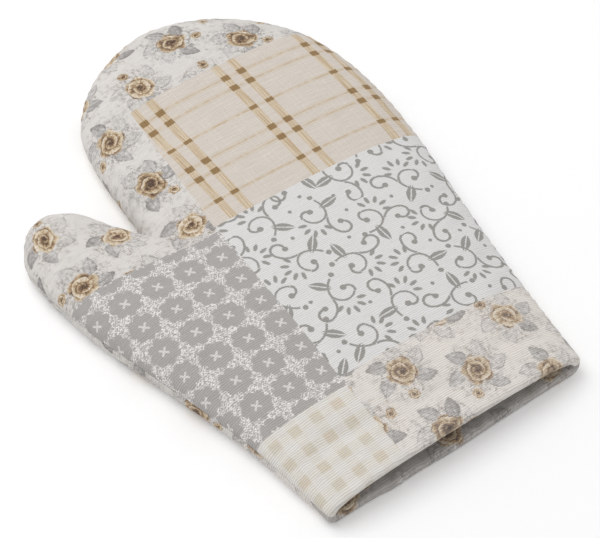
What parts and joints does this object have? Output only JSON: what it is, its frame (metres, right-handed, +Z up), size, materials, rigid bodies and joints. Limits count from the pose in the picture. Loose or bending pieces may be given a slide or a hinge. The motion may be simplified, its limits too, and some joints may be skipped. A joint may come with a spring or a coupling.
{
  "type": "oven mitt",
  "caption": "Padded cotton oven mitt with a separate thumb, a rounded hand part and an open straight cuff, lying on its palm.",
  "frame": {"origin": "centre of the mitt's outline on the surface it lies on", "axes": "+Y from the cuff to the fingertips, +X away from the thumb, +Z up out of the back of the hand"},
  "size_m": [0.205, 0.297, 0.0241],
  "materials": {
    "back_print": "matt ribbed cotton with a patchwork print in off-white, beige, warm grey and brown",
    "palm_print": "matt ribbed cotton with a floral print in off-white, grey and brown",
    "wadding": "matt needled fibre wadding",
    "lining": "matt plain cotton",
    "thread": "matt spun sewing thread"
  },
  "bodies": {
    "root": {"back_shell": "back_print", "back_wadding": "wadding", "back_lining": "lining", "palm_shell": "palm_print", "palm_wadding": "wadding", "palm_lining": "lining", "seam_thread": "thread", "hem_thread": "thread"}
  },
  "joints": []
}
